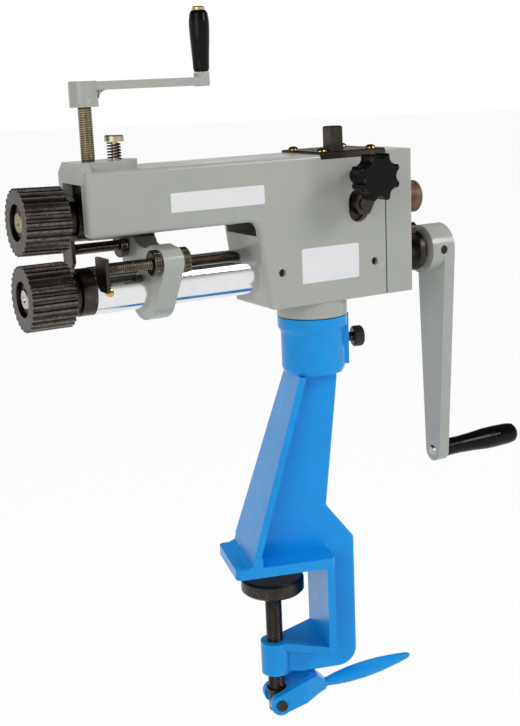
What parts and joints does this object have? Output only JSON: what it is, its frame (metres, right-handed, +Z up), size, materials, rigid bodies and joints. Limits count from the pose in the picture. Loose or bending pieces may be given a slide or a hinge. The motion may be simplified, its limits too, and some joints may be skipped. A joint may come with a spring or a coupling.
{
  "type": "sheet metal crimper",
  "caption": "Hand cranked bench machine that crimps or beads sheet metal between a pair of geared rolls, with a swivelling head on a bench clamp.",
  "frame": {"origin": "clamp screw's axis on the underside of the jaw plate, where the bench top is gripped", "axes": "+X along the head from the rolls to the crank, +Y away from the star knob's side, +Z up"},
  "size_m": [0.4826, 0.1267, 0.623],
  "materials": {
    "paint_grey": "gloss warm grey enamel on a casting",
    "paint_blue": "gloss blue enamel on a casting",
    "oxide_black": "black oxide on machined steel, worn bright at edges",
    "chrome_plate": "polished chrome plate",
    "zinc_yellow": "yellow passivated zinc on steel",
    "steel_bright": "turned and ground steel",
    "steel_rusty": "raw steel with a brown rust bloom",
    "brass_turned": "turned brass",
    "bronze_bush": "oiled bearing bronze",
    "black_gloss": "moulded black plastic, gloss"
  },
  "bodies": {
    "stand": {"stand_casting": "paint_blue"},
    "pad": {"clamp_pad": "oxide_black"},
    "screw": {"clamp_screw": "oxide_black", "clamp_lever_pin": "oxide_black"},
    "lever": {"clamp_lever": "paint_blue"},
    "socket_lock": {"socket_lock_screw": "oxide_black"},
    "head": {"head_casting": "paint_grey", "rear_cover": "paint_grey", "rear_cover_screws": "oxide_black", "top_cover_plate": "oxide_black", "top_cover_screws": "brass_turned", "tube_lock_screws": "oxide_black", "lower_tube": "chrome_plate", "lower_front_bush": "oxide_black", "lower_rear_bush": "bronze_bush", "cover_bush": "bronze_bush", "oil_nipple": "brass_turned", "lift_spring": "oxide_black"},
    "lower_spindle": {"lower_shaft": "steel_bright", "lower_gear": "oxide_black", "lower_gear_key": "steel_bright", "lower_roll": "oxide_black", "lower_roll_nut": "oxide_black", "thrust_collar": "oxide_black", "crank_arm": "paint_grey", "crank_set_screw": "oxide_black", "grip_bolt": "steel_bright"},
    "handgrip": {"crank_grip": "black_gloss"},
    "adjuster": {"adjuster_post": "oxide_black"},
    "yoke": {"rear_yoke": "oxide_black", "pivot_screws": "oxide_black", "pivot_nuts": "oxide_black"},
    "carrier": {"rear_bearing_block": "oxide_black", "rear_bush": "bronze_bush", "front_bearing_block": "oxide_black", "front_bush": "bronze_bush", "lift_bolt": "zinc_yellow"},
    "upper_spindle": {"upper_shaft": "steel_rusty", "upper_gear": "oxide_black", "upper_gear_key": "steel_bright", "upper_spacer": "oxide_black", "upper_roll": "oxide_black", "upper_roll_nut": "oxide_black"},
    "button": {"thrust_button": "steel_bright"},
    "pressure": {"pressure_screw": "zinc_yellow", "pressure_crank": "paint_grey", "pressure_crank_pin": "steel_bright", "pressure_grip_bolt": "brass_turned"},
    "pressure_handgrip": {"pressure_grip": "black_gloss"},
    "star": {"star_knob": "black_gloss", "star_stud": "steel_bright"},
    "guide": {"guide_bracket": "paint_grey", "guide_lock_screw": "oxide_black"},
    "near_fence_body": {"near_fence": "oxide_black"},
    "far_fence_body": {"far_fence": "oxide_black"},
    "near_nuts": {"near_guide_nuts": "oxide_black"},
    "far_nuts": {"far_guide_nuts": "oxide_black"}
  },
  "joints": [
    {"name": "clamp_feed", "type": "slide", "parent": "stand", "child": "pad", "axis": [0, 0, 1], "range_m": [-0.034, 0.004]},
    {"name": "clamp_turn", "type": "hinge", "parent": "pad", "child": "screw", "pos_m": [0, 0, -0.03], "axis": [0, 0, 1], "range_deg": [-6120, 720]},
    {"name": "lever_fold", "type": "hinge", "parent": "screw", "child": "lever", "pos_m": [0, 0, -0.1345], "axis": [0.2588, 0.9659, 0], "range_deg": [0, 180]},
    {"name": "socket_lock_turn", "type": "hinge", "parent": "stand", "child": "socket_lock", "pos_m": [0.07824, -0.02096, 0.198], "axis": [0.9659, -0.2588, 0], "range_deg": [-720, 0]},
    {"name": "head_swivel", "type": "hinge", "parent": "stand", "child": "head", "pos_m": [0.04347, -0.01165, 0.222], "axis": [0, 0, 1], "continuous": true},
    {"name": "crank_turn", "type": "hinge", "parent": "head", "child": "lower_spindle", "pos_m": [0.16347, -0.01165, 0.2655], "axis": [1, 0, 0], "continuous": true},
    {"name": "crank_grip_spin", "type": "hinge", "parent": "lower_spindle", "child": "handgrip", "pos_m": [0.22347, -0.01165, 0.0735], "axis": [1, 0, 0], "continuous": true},
    {"name": "adjuster_turn", "type": "hinge", "parent": "head", "child": "adjuster", "pos_m": [0.06947, -0.01165, 0.357], "axis": [0, 0, 1], "range_deg": [-24, 24]},
    {"name": "yoke_slide", "type": "slide", "parent": "head", "child": "yoke", "axis": [1, 0, 0], "range_m": [-0.00123, 0.00123]},
    {"name": "roll_gap", "type": "hinge", "parent": "yoke", "child": "carrier", "pos_m": [0.07447, -0.01165, 0.3155], "axis": [0, 1, 0], "range_deg": [-1.26, 1.14], "deforming": ["lift_spring"]},
    {"name": "upper_turn", "type": "hinge", "parent": "carrier", "child": "upper_spindle", "pos_m": [0.07447, -0.01165, 0.3155], "axis": [0.9996, 0, -0.0282], "continuous": true},
    {"name": "pressure_feed", "type": "slide", "parent": "head", "child": "button", "axis": [0, 0, 1], "range_m": [-0.005, 0.0045]},
    {"name": "pressure_turn", "type": "hinge", "parent": "button", "child": "pressure", "pos_m": [-0.15153, -0.01165, 0.38], "axis": [0, 0, 1], "range_deg": [-1200, 1080]},
    {"name": "pressure_grip_spin", "type": "hinge", "parent": "pressure", "child": "pressure_handgrip", "pos_m": [-0.05153, -0.01165, 0.45], "axis": [0, 0, 1], "continuous": true},
    {"name": "star_knob_turn", "type": "hinge", "parent": "head", "child": "star", "pos_m": [0.06847, -0.07165, 0.3395], "axis": [0, -1, 0], "range_deg": [0, 720]},
    {"name": "guide_slide", "type": "slide", "parent": "head", "child": "guide", "axis": [1, 0, 0], "range_m": [-0.008, 0.04]},
    {"name": "near_nuts_turn", "type": "hinge", "parent": "guide", "child": "near_nuts", "pos_m": [-0.10553, -0.04658, 0.28669], "axis": [1, 0, 0], "range_deg": [-5185, 1441]},
    {"name": "near_fence_slide", "type": "slide", "parent": "guide", "child": "near_fence_body", "axis": [1, 0, 0], "range_m": [-0.005, 0.018]},
    {"name": "far_nuts_turn", "type": "hinge", "parent": "guide", "child": "far_nuts", "pos_m": [-0.10553, 0.01692, 0.29471], "axis": [1, 0, 0], "range_deg": [-5185, 1441]},
    {"name": "far_fence_slide", "type": "slide", "parent": "guide", "child": "far_fence_body", "axis": [1, 0, 0], "range_m": [-0.005, 0.018]}
  ],
  "couplings": [
    {"joint": "clamp_feed", "follows": "clamp_turn", "m_per_rad": 0.00031831},
    {"joint": "adjuster_turn", "follows": "yoke_slide", "rad_per_m": -340.14},
    {"joint": "pressure_feed", "follows": "pressure_turn", "m_per_rad": 0.00023873},
    {"joint": "roll_gap", "follows": "pressure_turn", "ratio": 0.0010532},
    {"joint": "upper_turn", "follows": "crank_turn", "ratio": -1},
    {"joint": "near_nuts_turn", "follows": "near_fence_slide", "rad_per_m": -5026.5},
    {"joint": "far_nuts_turn", "follows": "far_fence_slide", "rad_per_m": -5026.5}
  ]
}
